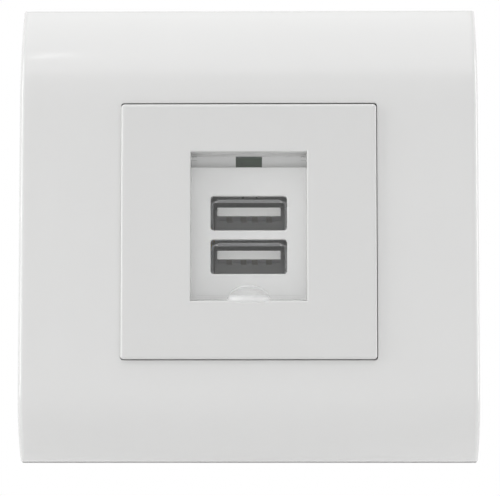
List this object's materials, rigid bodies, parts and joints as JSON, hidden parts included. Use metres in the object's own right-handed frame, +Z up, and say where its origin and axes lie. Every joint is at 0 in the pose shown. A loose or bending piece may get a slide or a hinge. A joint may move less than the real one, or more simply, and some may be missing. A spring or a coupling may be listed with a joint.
{
  "type": "usb wall socket",
  "caption": "Square wall plate with a swept front and a USB charging module: recessed ports behind a clear hinged dust cover, a lamp, a mounting frame and a rear housing with terminals.",
  "frame": {"origin": "middle of the mounting frame's back, on the wall plane", "axes": "+X right, +Y into the wall, +Z up; the front faces -Y"},
  "size_m": [0.08, 0.0413, 0.08],
  "materials": {
    "plate_white": "satin white moulding",
    "module_white": "satin white moulding",
    "clear_cover": "clear plastic",
    "frame_white": "matt white moulding",
    "housing_white": "matt white moulding",
    "lamp_green": "dark green lens",
    "shell_steel": "bright plated sheet",
    "insulator_white": "white moulding",
    "contact_gold": "gilt spring strip",
    "board_green": "green solder mask on laminate",
    "ferrite": "dark sintered ferrite",
    "bobbin_black": "black moulding",
    "tape_yellow": "yellow wrapping tape",
    "can_black": "shrunk sleeve",
    "film_box": "red-brown moulded box",
    "wire_copper": "enamelled copper wire",
    "chip_black": "black moulding compound",
    "terminal_grey": "grey moulding",
    "cage_brass": "milled brass",
    "screw_steel": "zinc-plated"
  },
  "bodies": {
    "socket": {"cover_plate": "plate_white", "module_front": "module_white", "mounting_frame": "frame_white", "rear_housing": "housing_white", "indicator_lamp": "lamp_green", "usb_shell_upper": "shell_steel", "usb_shell_lower": "shell_steel", "usb_insulator": "insulator_white", "usb_contacts_upper": "contact_gold", "usb_contacts_lower": "contact_gold", "main_board": "board_green", "transformer_core": "ferrite", "choke_core": "ferrite", "transformer_bobbin": "bobbin_black", "transformer_winding": "tape_yellow", "bulk_capacitor_1": "can_black", "bulk_capacitor_2": "can_black", "output_capacitor_1": "can_black", "output_capacitor_2": "can_black", "film_capacitor": "film_box", "choke_winding": "wire_copper", "bridge_rectifier": "chip_black", "controller_chip": "chip_black", "output_diode": "chip_black", "terminal_block": "terminal_grey", "terminal_cage_left": "cage_brass", "terminal_cage_right": "cage_brass", "terminal_screws": "screw_steel"},
    "dust_cover": {"dust_cover": "clear_cover"}
  },
  "joints": [
    {"name": "cover_hinge", "type": "hinge", "parent": "socket", "child": "dust_cover", "pos_m": [0, -0.01095, 0.01245], "axis": [-1, 0, 0], "range_deg": [0, 105]}
  ]
}
